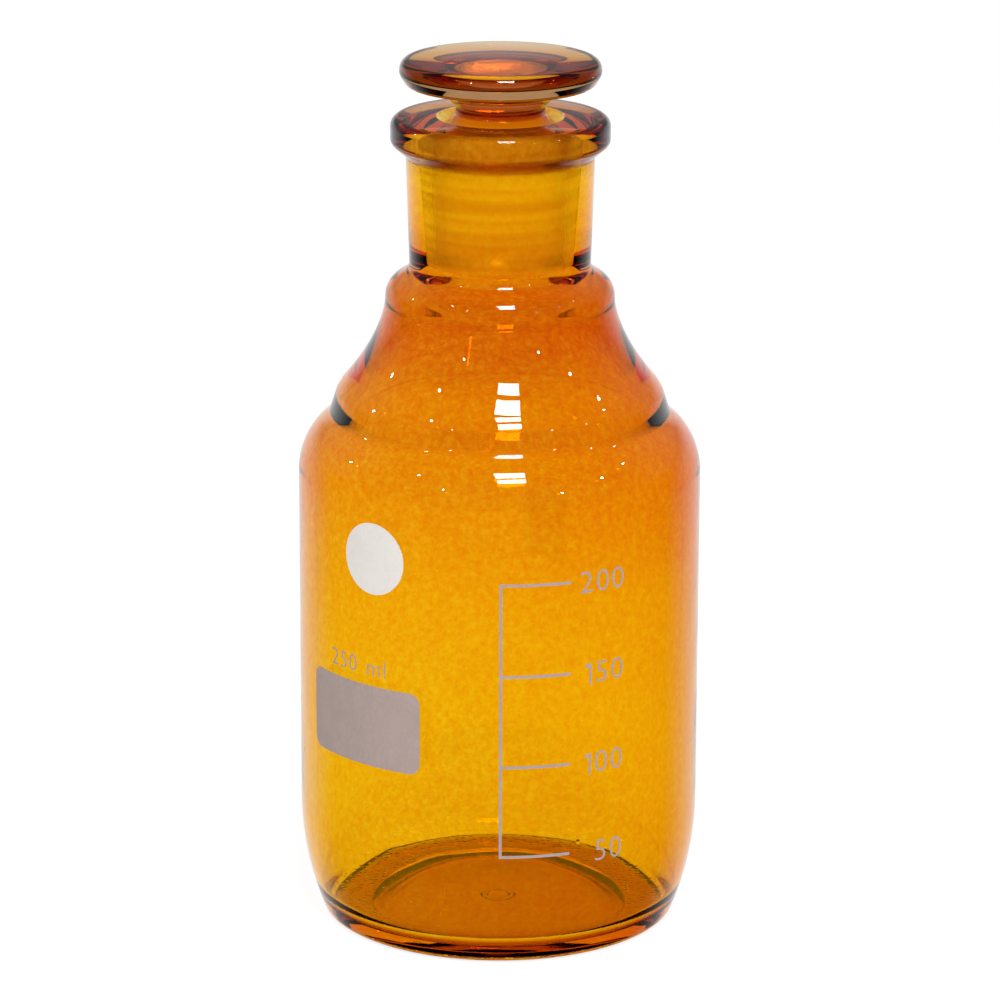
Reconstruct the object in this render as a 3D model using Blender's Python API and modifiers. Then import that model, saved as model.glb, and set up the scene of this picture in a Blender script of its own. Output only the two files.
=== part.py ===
"""Narrow-mouth amber reagent bottle, 250 ml, with a solid glass stopper in a ground joint.

Run with: blender --background --python part.py
Units are metres. The origin is on the surface that the bottle stands on, on the bottle's axis.
+Z runs up the axis and the graduated front faces -Y.
"""

import bmesh
import bpy
from math import asin, cos, degrees, radians, sin
from mathutils import Vector
from mathutils.geometry import interpolate_bezier

MM = 0.001
TURNS = 48  # sides of every turned piece
WELD = 0.00002

# Body of the bottle
BODY_R = 34.5 * MM
WALL = 2.9 * MM
HEEL_TOP = 20.2 * MM  # the wall is straight above this height
HEEL_SWEEP_R = 51.8 * MM
HEEL_CORNER_R = 1.6 * MM
BEARING_INNER_R = 22.0 * MM
PUNT_EDGE = (21.5 * MM, 0.3 * MM)
PUNT_HEIGHT = 0.7 * MM
FLOOR_TOP = 2.9 * MM
FLOOR_CORNER_R = 4.5 * MM
FLOOR_CORNER_CENTRE = (26.0 * MM, 7.2 * MM)
FLOOR_CORNER_END_DEG = -10.0

# Shoulder
SHOULDER_FOOT = 79.2 * MM
SHOULDER_CORNER_R = 11.8 * MM
SHOULDER_CORNER_DEG = 50.0
LEDGE_CREASE = (29.35 * MM, 89.4 * MM)
LEDGE_EDGE = (28.15 * MM, 92.6 * MM)
BELL_HANDLES = ((20.2 * MM, 104.5 * MM), (23.2 * MM, 98.9 * MM))
BELL_FOOT = (27.3 * MM, 94.4 * MM)
INNER_CORNER_DEG = 48.0
INNER_BELL_HANDLES = ((24.9 * MM, 89.2 * MM), (19.4 * MM, 97.5 * MM))
INNER_BELL_TOP = (16.2 * MM, 106.4 * MM)
INNER_ROOT_HANDLES = ((15.1 * MM, 110.6 * MM), (9.9 * MM, 111.4 * MM))
ROOT_R = 4.6 * MM  # rounding where the shoulder runs into the neck
ROOT_CENTRE = (15.0 * MM, 109.4 * MM)
ROOT_END_DEG = 50.0

# Neck, lip and ground joint (nominal joint 19/26, taper 1 in 10)
NECK_FOOT = (15.4 * MM, 116.3 * MM)
NECK_TOP = (16.05 * MM, 134.0 * MM)
LIP_R = 18.65 * MM
LIP_ROUND = 1.6 * MM
LIP_UNDER = 137.2 * MM
LIP_UNDER_DEG = -50.0
RIM_TOP = 140.7 * MM
MOUTH_R = 10.9 * MM
MOUTH_CHAMFER = 0.4 * MM
SOCKET_TOP = (9.5 * MM, 139.4 * MM)
SOCKET_TAPER = 0.05  # change of radius for each unit of height
SOCKET_FOOT = 115.2 * MM

# Stopper
JOINT_GAP = 0.3 * MM
PLUG_FOOT = 115.6 * MM
PLUG_TOP = 138.6 * MM
PLUG_CHAMFER = 0.6 * MM
PLUG_SHOULDER = (8.6 * MM, 140.2 * MM)
WAIST = (7.5 * MM, 142.5 * MM)
WAIST_TOP = (8.0 * MM, 143.7 * MM)
HEAD_UNDER_R = 9.6 * MM
HEAD_R = 17.2 * MM
HEAD_UNDER = 144.5 * MM
HEAD_EDGE = 148.5 * MM
HEAD_EDGE_R = 1.9 * MM
HEAD_EDGE_DEG = (80.0, -60.0)
HEAD_BEVEL = 0.6 * MM
STOPPER_TOP = 150.5 * MM

# Fired enamel marks
ENAMEL_GAP = 0.2 * MM
ENAMEL_THICK = 0.2 * MM
SLICE_DEG = 3.75
SPOT_SIDES = 32
STEM_DEG = 0.5
TICK_END_DEG = 20.3
FIRST_TICK = 20.5 * MM
TICK_STEP = 15.95 * MM
LINE_WIDTH = 0.5 * MM
SCALE_NUMBERS = ("50", "100", "150", "200")
NUMBER_END_DEG = 37.6
NUMBER_RISE = -0.45 * MM
NUMBER_SIZE = 5.5 * MM
PANEL_DEG = (-64.6, -22.6)
PANEL_Z = (34.1 * MM, 48.4 * MM)
PANEL_CORNER_R = 2.0 * MM
SPOT_DEG = -37.8
SPOT_Z = 70.8 * MM
SPOT_R = 6.2 * MM
CAPACITY_TEXT = "250 ml"
CAPACITY_SIZE = 4.25 * MM
CAPACITY_DEG = -43.6
CAPACITY_Z = 51.5 * MM
ONE_WIDTH = 0.4 * MM  # the figure 1's stroke
LETTER_PITCH = 0.553  # this and the next values are shares of the letters' size
LETTER_THINNING = 0.012
ONE_SHIFT = 0.16
ONE_HALF_HEIGHT = 0.34
ONE_FLAG_REACH = 0.17
ONE_FLAG_DROP = 0.15
ONE_FLAG_TIP = 0.04

# Colours, as linear values
AMBER = (0.78, 0.31, 0.01)
WHITE = (0.82, 0.78, 0.72)
GREY = (0.45, 0.33, 0.31)


def clear_scene():
    """Remove the objects that a new file starts with."""
    for item in list(bpy.data.objects):
        bpy.data.objects.remove(item, do_unlink=True)


def material(name, colour, roughness, transmission=0.0):
    """A Principled material in one colour."""
    made = bpy.data.materials.new(name)
    made.use_nodes = True
    shader = made.node_tree.nodes["Principled BSDF"]
    shader.inputs["Base Color"].default_value = (*colour, 1.0)
    shader.inputs["Roughness"].default_value = roughness
    shader.inputs["Metallic"].default_value = 0.0
    shader.inputs["Transmission Weight"].default_value = transmission
    return made


def arc(centre, radius, start_deg, end_deg, steps):
    """Points of a round stretch of a profile, both of its ends included."""
    turn = (end_deg - start_deg) / steps
    angles = [radians(start_deg + turn * step) for step in range(steps + 1)]
    return [(centre[0] + radius * cos(a), centre[1] + radius * sin(a)) for a in angles]


def sweep(start, start_handle, end_handle, end, steps):
    """Points of a Bezier stretch of a profile, without its start."""
    knots = [Vector((*point, 0.0)) for point in (start, start_handle, end_handle, end)]
    return [(point.x, point.y) for point in interpolate_bezier(*knots, steps + 1)[1:]]


def heel_arcs(sweep_steps, corner_steps):
    """The heel from the straight wall down to the base: a long sweep, then a small corner."""
    sweep_centre = (BODY_R - HEEL_SWEEP_R, HEEL_TOP)
    corner_r = HEEL_CORNER_R
    reach = HEEL_SWEEP_R - corner_r
    angle = asin((HEEL_TOP - corner_r) / reach)
    corner = (sweep_centre[0] + reach * cos(angle), sweep_centre[1] - reach * sin(angle))
    side = arc(sweep_centre, HEEL_SWEEP_R, 0.0, -degrees(angle), sweep_steps)
    return side, arc(corner, corner_r, -degrees(angle), -90.0, corner_steps)[1:]


def socket_radius(height):
    """Radius of the ground socket at a height above the base."""
    return SOCKET_TOP[0] - SOCKET_TAPER * (SOCKET_TOP[1] - height)


def inner_profile():
    """The inside of the glass, from the middle of the floor up to the mouth."""
    floor_corner = arc(FLOOR_CORNER_CENTRE, FLOOR_CORNER_R, -90.0, FLOOR_CORNER_END_DEG, 5)
    wall = [(0.0, FLOOR_TOP), *floor_corner, (BODY_R - WALL, HEEL_TOP)]
    corner_centre = (BODY_R - SHOULDER_CORNER_R, SHOULDER_FOOT)
    shoulder = arc(corner_centre, SHOULDER_CORNER_R - WALL, 0.0, INNER_CORNER_DEG, 5)
    bell = sweep(shoulder[-1], *INNER_BELL_HANDLES, INNER_BELL_TOP, 5)
    socket_foot = (socket_radius(SOCKET_FOOT), SOCKET_FOOT)
    root = sweep(bell[-1], *INNER_ROOT_HANDLES, socket_foot, 5)
    chamfer = (SOCKET_TOP[0] + MOUTH_CHAMFER, RIM_TOP - MOUTH_CHAMFER)
    return [*wall, *shoulder, *bell, *root, SOCKET_TOP, chamfer, (MOUTH_R, RIM_TOP)]


def outer_profile():
    """The outside of the glass, from the rim down to the middle of the base."""
    lip_x = LIP_R - LIP_ROUND
    over = arc((lip_x, RIM_TOP - LIP_ROUND), LIP_ROUND, 90.0, 0.0, 3)
    under = arc((lip_x, LIP_UNDER), LIP_ROUND, 0.0, LIP_UNDER_DEG, 2)
    root = arc(ROOT_CENTRE, ROOT_R, ROOT_END_DEG, 0.0, 4)
    corner_centre = (BODY_R - SHOULDER_CORNER_R, SHOULDER_FOOT)
    corner = arc(corner_centre, SHOULDER_CORNER_R, SHOULDER_CORNER_DEG, 0.0, 6)
    bell = sweep(root[-1], *BELL_HANDLES, BELL_FOOT, 6)
    heel, foot = heel_arcs(4, 4)
    base = [(BEARING_INNER_R, 0.0), PUNT_EDGE, (0.0, PUNT_HEIGHT)]
    neck = [NECK_TOP, NECK_FOOT]
    ledge = [LEDGE_EDGE, LEDGE_CREASE]
    return [*over, *under, *neck, *root, *bell, *ledge, *corner, *heel, *foot, *base]


def stopper_profile():
    """The stopper from the middle of its flat top down its outer side to the foot of its plug."""
    edge_x = HEAD_R - HEAD_EDGE_R
    head = arc((edge_x, HEAD_EDGE), HEAD_EDGE_R, *HEAD_EDGE_DEG, 6)
    top = [(0.0, STOPPER_TOP), (edge_x - HEAD_BEVEL, STOPPER_TOP)]
    neck = [(HEAD_UNDER_R, HEAD_UNDER), WAIST_TOP, WAIST, PLUG_SHOULDER]
    plug_top = (socket_radius(PLUG_TOP) - JOINT_GAP, PLUG_TOP)
    plug_foot = (socket_radius(PLUG_FOOT) - JOINT_GAP, PLUG_FOOT + PLUG_CHAMFER)
    foot = [(plug_foot[0] - PLUG_CHAMFER, PLUG_FOOT), (0.0, PLUG_FOOT)]
    return [*top, *head, *neck, plug_top, plug_foot, *foot]


def turned(name, profile, origin_z, finish, home):
    """Spin a profile about the Z axis into one closed solid."""
    outline = bmesh.new()
    points = [outline.verts.new((x, 0.0, z - origin_z)) for x, z in profile]
    for first, second in zip(points, points[1:]):
        outline.edges.new((first, second))
    mesh = bpy.data.meshes.new(name)
    outline.to_mesh(mesh)
    outline.free()
    piece = bpy.data.objects.new(name, mesh)
    piece.location.z = origin_z
    home.objects.link(piece)
    screw = piece.modifiers.new("spin", "SCREW")
    screw.steps = TURNS
    screw.render_steps = TURNS
    screw.use_merge_vertices = True
    screw.merge_threshold = WELD
    screw.use_smooth_shade = True
    mesh.materials.append(finish)
    return piece


def flat_outline(name, points):
    """A filled curve for a flat closed outline, with the enamel's thickness."""
    curve = bpy.data.curves.new(name, "CURVE")
    curve.dimensions = "2D"
    curve.fill_mode = "BOTH"
    curve.extrude = ENAMEL_THICK / 2.0
    spline = curve.splines.new("POLY")
    spline.points.add(len(points) - 1)
    for target, (x, y) in zip(spline.points, points):
        target.co = (x, y, 0.0, 1.0)
    spline.use_cyclic_u = True
    return curve


def figure_one(size):
    """Outline of a figure 1 with a flag, which Blender's own face draws without one."""
    half = ONE_WIDTH / 2.0
    middle = ONE_SHIFT * size
    top = ONE_HALF_HEIGHT * size
    tip_x = -ONE_FLAG_REACH * size
    flag = [(tip_x, top - ONE_FLAG_TIP * size), (tip_x, top - ONE_FLAG_DROP * size)]
    outline = [(half, -top), (half, top), (-half, top), *flag, (-half, top - 2.6 * half), (-half, -top)]
    return [(x + middle, y) for x, y in outline]


def flat_glyph(name, letter, size):
    """One figure or letter in Blender's own plain face, with the enamel's thickness."""
    if letter == "1":
        return flat_outline(name, figure_one(size))
    text = bpy.data.curves.new(name, "FONT")
    text.body = letter
    text.size = size
    text.align_x = "CENTER"
    text.align_y = "CENTER"
    text.offset = -LETTER_THINNING * size
    text.extrude = ENAMEL_THICK / 2.0
    text.resolution_u = 2
    return text


def curve_to_mesh(name, curve):
    """Turn a filled curve into a closed mesh with its caps welded to its sides."""
    source = bpy.data.objects.new(name + "_curve", curve)
    bpy.context.scene.collection.objects.link(source)
    shaped = source.evaluated_get(bpy.context.evaluated_depsgraph_get())
    mesh = bpy.data.meshes.new_from_object(shaped)
    bpy.data.objects.remove(source, do_unlink=True)
    return mesh


def wrap_point(point, angle_deg, height):
    """Carry a point of a flat mark onto the round wall of the bottle."""
    reach = BODY_R + ENAMEL_GAP + ENAMEL_THICK / 2.0 + point.z
    angle = radians(angle_deg) + point.x / BODY_R
    return Vector((reach * sin(angle), -reach * cos(angle), height + point.y))


def enamel(name, curve, angle_deg, height, finish, home):
    """One enamel mark, centred at an angle to the right of the front and at a height."""
    mesh = curve_to_mesh(name, curve)
    flat = bmesh.new()
    flat.from_mesh(mesh)
    bmesh.ops.remove_doubles(flat, verts=flat.verts, dist=WELD)
    step = radians(SLICE_DEG) * BODY_R
    reach = max(abs(vert.co.x) for vert in flat.verts)
    count = int(reach / step)
    sideways = Vector((1.0, 0.0, 0.0))
    for place in range(-count, count + 1):
        whole = [*flat.verts, *flat.edges, *flat.faces]
        cut = sideways * place * step
        bmesh.ops.bisect_plane(flat, geom=whole, dist=WELD / 4.0, plane_co=cut, plane_no=sideways)
    bmesh.ops.triangulate(flat, faces=flat.faces)
    for vert in flat.verts:
        vert.co = wrap_point(vert.co, angle_deg, height)
    bmesh.ops.recalc_face_normals(flat, faces=flat.faces)
    if flat.calc_volume(signed=True) < 0.0:
        bmesh.ops.reverse_faces(flat, faces=flat.faces)
    flat.to_mesh(mesh)
    flat.free()
    mesh.name = name
    mesh.materials.clear()
    mesh.materials.append(finish)
    piece = bpy.data.objects.new(name, mesh)
    home.objects.link(piece)
    return piece


def rounded_rectangle(width, height, corner):
    """Outline of a rectangle with round corners, centred on zero."""
    points = []
    for sign_x, sign_y, start in ((1, 1, 0.0), (-1, 1, 90.0), (-1, -1, 180.0), (1, -1, 270.0)):
        centre = (sign_x * (width / 2.0 - corner), sign_y * (height / 2.0 - corner))
        points += arc(centre, corner, start, start + 90.0, 4)
    return points


def scale_outline():
    """Outline of the scale: an upright stem with a tick to the right at each graduation."""
    length = radians(TICK_END_DEG - STEM_DEG) * BODY_R
    half = LINE_WIDTH / 2.0
    last = TICK_STEP * (len(SCALE_NUMBERS) - 1)
    points = [(-half, last + half), (-half, -half)]
    for index in range(len(SCALE_NUMBERS)):
        level = index * TICK_STEP
        points += [(length, level - half), (length, level + half)]
        if index < len(SCALE_NUMBERS) - 1:
            points += [(half, level + half), (half, level + TICK_STEP - half)]
    return points


def glyph_row(stem, letters, size, end_deg, height, finish, home):
    """A row of separate figures that ends at an angle; spaces only leave room."""
    pitch = LETTER_PITCH * size
    end = radians(end_deg) * BODY_R
    for index, letter in enumerate(letters):
        if letter == " ":
            continue
        centre = end - pitch * (len(letters) - index - 0.5)
        name = f"{stem}_{index + 1}_{letter}"
        enamel(name, flat_glyph(name, letter, size), degrees(centre / BODY_R), height, finish, home)


def make_marks(white, grey, home):
    """The fired enamel marks on the front of the bottle."""
    width = radians(PANEL_DEG[1] - PANEL_DEG[0]) * BODY_R
    panel = rounded_rectangle(width, PANEL_Z[1] - PANEL_Z[0], PANEL_CORNER_R)
    outline = flat_outline("label_panel", panel)
    enamel("label_panel", outline, sum(PANEL_DEG) / 2.0, sum(PANEL_Z) / 2.0, grey, home)
    side_deg = 360.0 / SPOT_SIDES
    spot = arc((0.0, 0.0), SPOT_R, 0.0, 360.0 - side_deg, SPOT_SIDES - 1)
    enamel("marking_spot", flat_outline("marking_spot", spot), SPOT_DEG, SPOT_Z, white, home)
    outline = flat_outline("graduation_scale", scale_outline())
    enamel("graduation_scale", outline, STEM_DEG, FIRST_TICK, grey, home)
    for index, number in enumerate(SCALE_NUMBERS):
        level = FIRST_TICK + index * TICK_STEP + NUMBER_RISE
        glyph_row(f"scale_number_{number}", number, NUMBER_SIZE, NUMBER_END_DEG, level, grey, home)
    half_row = degrees(LETTER_PITCH * CAPACITY_SIZE * len(CAPACITY_TEXT) / 2.0 / BODY_R)
    row_end = CAPACITY_DEG + half_row
    glyph_row("capacity_mark", CAPACITY_TEXT, CAPACITY_SIZE, row_end, CAPACITY_Z, grey, home)


def main():
    """Build the bottle, its stopper and its enamel marks."""
    clear_scene()
    home = bpy.data.collections.new("reagent_bottle")
    bpy.context.scene.collection.children.link(home)
    glass = material("amber_glass", AMBER, 0.03, 0.9)
    white = material("white_enamel", WHITE, 0.5)
    grey = material("grey_enamel", GREY, 0.55)
    turned("bottle", [*inner_profile(), *outer_profile()], 0.0, glass, home)
    turned("stopper", stopper_profile(), PLUG_TOP, glass, home)
    make_marks(white, grey, home)


main()
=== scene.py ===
"""Narrow-mouth amber reagent bottle with a ground glass stopper and fired enamel marks.

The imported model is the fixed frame: the bottle's body and the stopper that slides out of it.
Every visible piece is turned or wrapped here at full smoothness and rides on one of the two.
The classes give sizes in millimetres, and every mesh is in metres. +Z runs up the bottle's axis
and the graduated front faces -Y.
"""

import logging
from dataclasses import dataclass
from enum import Enum
from math import acos, asin, cos, degrees, pi, radians, sin, tan
from typing import Iterable

import bpy
from mathutils import Matrix, Vector
from mathutils.geometry import interpolate_bezier


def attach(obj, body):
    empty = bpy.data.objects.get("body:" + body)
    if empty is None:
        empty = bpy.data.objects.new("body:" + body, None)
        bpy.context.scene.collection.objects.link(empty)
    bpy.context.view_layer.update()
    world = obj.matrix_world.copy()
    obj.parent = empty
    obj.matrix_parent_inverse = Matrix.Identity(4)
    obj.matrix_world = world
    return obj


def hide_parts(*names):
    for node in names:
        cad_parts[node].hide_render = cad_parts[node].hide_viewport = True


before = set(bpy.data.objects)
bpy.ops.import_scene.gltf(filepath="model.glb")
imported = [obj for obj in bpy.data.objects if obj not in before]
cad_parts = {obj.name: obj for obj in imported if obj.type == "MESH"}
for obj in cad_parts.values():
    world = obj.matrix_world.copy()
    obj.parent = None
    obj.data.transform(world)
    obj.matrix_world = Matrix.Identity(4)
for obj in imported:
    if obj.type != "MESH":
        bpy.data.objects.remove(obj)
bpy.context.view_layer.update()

LOG = logging.getLogger("reagent_bottle")
MM = 0.001
MERGE = 0.002 * MM  # points closer than this become one
GLASS_CREASE = radians(50.0)  # edges that turn less than this are shaded smooth
ENAMEL_CREASE = radians(40.0)
ORIGIN = (0.0, 0.0, 0.0)
DOWN = -90.0  # an arc's angle, in degrees, where it is lowest
Point = tuple[float, float]
Bezier = tuple[Point, Point, Point, Point]
Colour = tuple[float, float, float]
NodeInputs = dict[str | int, object]


class Body(Enum):
    """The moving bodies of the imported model."""

    BOTTLE = "bottle"
    STOPPER = "stopper"


class Slot(Enum):
    """The record's material slots."""

    GLASS = "amber_glass"
    WHITE = "white_enamel"
    GREY = "grey_enamel"


# ---- Drawing profiles ----


@dataclass(frozen=True)
class Corner:
    """One corner of a turned profile, in millimetres, with the radius that rounds it.

    Attributes:
        r: Distance from the axis.
        z: Height above the base.
        rounding: Radius of the fillet, or 0 for a sharp corner.
    """

    r: float
    z: float
    rounding: float = 0.0


def arc(centre: Point, radius: float, start: float, end: float, steps: int) -> list[Corner]:
    """Draw a round stretch of a profile.

    Args:
        centre: Centre of the arc, as distance from the axis and height.
        radius: Radius of the arc.
        start: First angle in degrees, from the outward direction towards up.
        end: Last angle in degrees.
        steps: Number of chords.

    Returns:
        The points of the arc, both ends included.
    """
    turn = radians(end - start) / steps
    angles = [radians(start) + turn * step for step in range(steps + 1)]
    return [Corner(centre[0] + radius * cos(a), centre[1] + radius * sin(a)) for a in angles]


def sweep(curve: Bezier, steps: int) -> list[Corner]:
    """Draw a Bezier stretch of a profile.

    Args:
        curve: Its first point, the handles of its first and last points, and its last point.
        steps: Number of chords.

    Returns:
        The points of the curve, both ends included.
    """
    knots = [Vector((*point, 0.0)) for point in curve]
    return [Corner(point.x, point.y) for point in interpolate_bezier(*knots, steps + 1)]


def fillet(before: Corner, here: Corner, after: Corner, steps: int) -> list[Corner]:
    """Round one corner of a profile.

    Args:
        before: The corner before it.
        here: The corner that is rounded.
        after: The corner after it.
        steps: Number of chords in the fillet.

    Returns:
        The points that take the corner's place.
    """
    if here.rounding <= 0.0:
        return [here]
    place = Vector((here.r, here.z))
    back = (Vector((before.r, before.z)) - place).normalized()
    ahead = (Vector((after.r, after.z)) - place).normalized()
    half = acos(max(-1.0, min(1.0, back.dot(ahead)))) / 2.0
    reach = here.rounding / tan(half)
    middle = place + (back + ahead).normalized() * here.rounding / sin(half)
    first, last = place + back * reach - middle, place + ahead * reach - middle
    turn = first.angle_signed(last)
    points = []
    for step in range(steps + 1):
        angle = -turn * step / steps
        points.append(
            Corner(
                middle.x + first.x * cos(angle) - first.y * sin(angle),
                middle.y + first.x * sin(angle) + first.y * cos(angle),
            )
        )
    return points


def rounded(corners: list[Corner], steps: int = 6) -> list[Corner]:
    """Round every corner of a profile that asks for it, leaving both of its ends alone.

    Args:
        corners: The corners, in order.
        steps: Number of chords in each fillet.

    Returns:
        The points of the rounded profile.
    """
    points = [corners[0]]
    for before, here, after in zip(corners, corners[1:], corners[2:]):
        points += fillet(before, here, after, steps)
    return [*points, corners[-1]]


# ---- Modelling helpers ----


def named(name: str) -> bpy.types.Object:
    """Name the active object and its mesh.

    Args:
        name: The piece's name.

    Returns:
        The active object.
    """
    piece = bpy.context.object
    piece.name = name
    piece.data.name = name
    return piece


def joined(name: str, parts: list[bpy.types.Object]) -> bpy.types.Object:
    """Join meshes into one.

    Args:
        name: Name of the joined piece.
        parts: The meshes, two or more of them.

    Returns:
        The joined piece.
    """
    bpy.ops.object.select_all(action="DESELECT")
    for part in parts:
        part.select_set(True)
    bpy.context.view_layer.objects.active = parts[0]
    bpy.ops.object.join()
    return named(name)


def drawn(name: str, places: list[Vector]) -> bpy.types.Object:
    """Draw a chain of edges by extruding one vertex from place to place.

    Args:
        name: Name of the new piece.
        places: Places of its points in metres, in order.

    Returns:
        The chain, in edit mode and selected all over.
    """
    bpy.ops.object.select_all(action="DESELECT")
    bpy.ops.mesh.primitive_plane_add(size=1.0, location=ORIGIN)
    piece = named(name)
    bpy.ops.object.mode_set(mode="EDIT")
    bpy.ops.mesh.select_all(action="SELECT")
    bpy.ops.mesh.merge(type="CENTER")
    bpy.ops.transform.translate(value=places[0])
    for here, after in zip(places, places[1:]):
        bpy.ops.mesh.extrude_region_move(TRANSFORM_OT_translate={"value": after - here})
    bpy.ops.mesh.select_all(action="SELECT")
    return piece


def filled(name: str, outline: list[Point]) -> bpy.types.Object:
    """Draw a flat outline in the XY plane and fill it with one face.

    Args:
        name: Name of the new piece.
        outline: Its corners in millimetres, in order.

    Returns:
        The flat piece.
    """
    piece = drawn(name, [Vector((x * MM, y * MM, 0.0)) for x, y in outline])
    bpy.ops.mesh.edge_face_add()
    bpy.ops.object.mode_set(mode="OBJECT")
    return piece


def turned(
    name: str, profile: list[Corner], sides: int, finish: bpy.types.Material
) -> bpy.types.Object:
    """Turn a profile about the Z axis, as on a lathe.

    Args:
        name: Name of the new piece.
        profile: Points of the outline in millimetres, in order.
        sides: Number of sides of the turned surface.
        finish: Material of the surface.

    Returns:
        The turned surface, with its ends on the axis or open.
    """
    piece = drawn(name, [Vector((corner.r * MM, 0.0, corner.z * MM)) for corner in profile])
    bpy.ops.mesh.spin(steps=sides, angle=2.0 * pi, center=ORIGIN, axis=(0.0, 0.0, 1.0))
    bpy.ops.mesh.select_all(action="SELECT")
    bpy.ops.mesh.remove_doubles(threshold=MERGE)
    bpy.ops.object.mode_set(mode="OBJECT")
    piece.data.materials.append(finish)
    return piece


def closed(name: str, skins: list[bpy.types.Object]) -> bpy.types.Object:
    """Join turned skins whose edges meet into one closed, smooth body with its faces outwards.

    Args:
        name: Name of the body.
        skins: The skins, each with its own finish.

    Returns:
        The closed body.
    """
    piece = joined(name, skins)
    bpy.ops.object.mode_set(mode="EDIT")
    bpy.ops.mesh.select_all(action="SELECT")
    bpy.ops.mesh.remove_doubles(threshold=MERGE)
    bpy.ops.mesh.normals_make_consistent(inside=False)
    bpy.ops.object.mode_set(mode="OBJECT")
    bpy.ops.object.transform_apply(location=True, rotation=True, scale=True)
    bpy.ops.object.shade_smooth_by_angle(angle=GLASS_CREASE)
    return piece


def settle(
    piece: bpy.types.Object, body: Body, nodes: Iterable[str]
) -> bpy.types.Object:
    """Put a finished piece on its body and in its CAD nodes' place, and report it.

    Args:
        piece: The finished piece.
        body: The body that it rides on.
        nodes: The CAD nodes that it stands for.

    Returns:
        The same piece.
    """
    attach(piece, body.value)
    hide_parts(*nodes)
    LOG.info("%s: %d faces on %s", piece.name, len(piece.data.polygons), body.value)
    return piece


# ---- Shader nodes ----


@dataclass(frozen=True)
class Fade:
    """A smooth change of one value over a range of another.

    Attributes:
        low: Where the change starts.
        high: Where the change ends.
        first: The value up to its start.
        last: The value from its end on.
    """

    low: float
    high: float
    first: float
    last: float


@dataclass(frozen=True)
class Noise:
    """A noise pattern.

    Attributes:
        scale: How close its lumps are, for each metre.
        detail: How many finer layers lie on it.
        roughness: How strong the finer layers are.
    """

    scale: float
    detail: float
    roughness: float = 0.5


class Tree:
    """Adds nodes to a node tree and joins them."""

    def __init__(self, tree: bpy.types.NodeTree) -> None:
        """Keep the node tree that the nodes go into."""
        self.tree = tree

    def feed(self, node: bpy.types.Node, inputs: NodeInputs) -> None:
        """Give a node's inputs their values, or join them to the sockets that drive them.

        Args:
            node: The node.
            inputs: Values or output sockets, by the input's name or number.
        """
        for key, value in inputs.items():
            if isinstance(value, bpy.types.NodeSocket):
                self.tree.links.new(value, node.inputs[key])
            else:
                node.inputs[key].default_value = value

    def add(
        self, kind: str, inputs: NodeInputs | None = None, **settings: object
    ) -> bpy.types.Node:
        """Add one node.

        Args:
            kind: Type of the node.
            inputs: Values or output sockets for its inputs, by name or number.
            settings: Its other settings.

        Returns:
            The new node.
        """
        node = self.tree.nodes.new(kind)
        for name, value in settings.items():
            setattr(node, name, value)
        self.feed(node, inputs or {})
        return node

    def maths(self, operation: str, *terms: object) -> bpy.types.NodeSocket:
        """Add a Math node and return its result."""
        return self.add("ShaderNodeMath", dict(enumerate(terms)), operation=operation).outputs[0]

    def place(self) -> bpy.types.NodeSocket:
        """Read the place on the piece, in metres."""
        return self.add("ShaderNodeTexCoord").outputs["Object"]

    def noise(self, where: bpy.types.NodeSocket, noise: Noise) -> bpy.types.NodeSocket:
        """Read a noise pattern at a place.

        Args:
            where: The place.
            noise: The pattern.

        Returns:
            The pattern's value, from 0 to 1.
        """
        inputs = {
            "Vector": where,
            "Scale": noise.scale,
            "Detail": noise.detail,
            "Roughness": noise.roughness,
        }
        return self.add("ShaderNodeTexNoise", inputs).outputs[0]

    def faded(self, value: bpy.types.NodeSocket, fade: Fade) -> bpy.types.NodeSocket:
        """Carry a value over a fade.

        Args:
            value: The value that changes.
            fade: How the result changes with it.

        Returns:
            The result.
        """
        inputs = {
            "Value": value,
            "From Min": fade.low,
            "From Max": fade.high,
            "To Min": fade.first,
            "To Max": fade.last,
        }
        return self.add("ShaderNodeMapRange", inputs, interpolation_type="SMOOTHSTEP").outputs[0]

    def ramp(
        self, value: bpy.types.NodeSocket, stops: Iterable[tuple[float, Colour]]
    ) -> bpy.types.NodeSocket:
        """Turn a value into a colour.

        Args:
            value: The value, from 0 to 1.
            stops: Values in rising order, each with its colour.

        Returns:
            The colour.
        """
        node = self.add("ShaderNodeValToRGB", {0: value})
        elements = node.color_ramp.elements
        elements.remove(elements[1])
        for index, (position, colour) in enumerate(stops):
            element = elements[0] if index == 0 else elements.new(position)
            element.position = position
            element.color = (*colour, 1.0)
        return node.outputs[0]

    def bump(
        self, height: bpy.types.NodeSocket, strength: float, depth: float
    ) -> bpy.types.NodeSocket:
        """Turn a height into a normal.

        Args:
            height: The height, from 0 to 1.
            strength: How much of it shows.
            depth: Height in metres that 1 stands for.

        Returns:
            The normal.
        """
        inputs = {"Strength": strength, "Distance": depth, "Height": height}
        return self.add("ShaderNodeBump", inputs).outputs[0]


def new_group(
    name: str, inputs: dict[str, str], outputs: dict[str, str]
) -> tuple[Tree, dict, bpy.types.Node]:
    """Start a shader node group.

    Args:
        name: Name of the group.
        inputs: Socket types of its inputs, by name.
        outputs: Socket types of its outputs, by name.

    Returns:
        Its tree, its input sockets by name, and its output node.
    """
    group = bpy.data.node_groups.new(name, "ShaderNodeTree")
    for label, kind in inputs.items():
        group.interface.new_socket(label, in_out="INPUT", socket_type=kind)
    for label, kind in outputs.items():
        group.interface.new_socket(label, in_out="OUTPUT", socket_type=kind)
    tree = Tree(group)
    return tree, dict(tree.add("NodeGroupInput").outputs.items()), tree.add("NodeGroupOutput")


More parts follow.
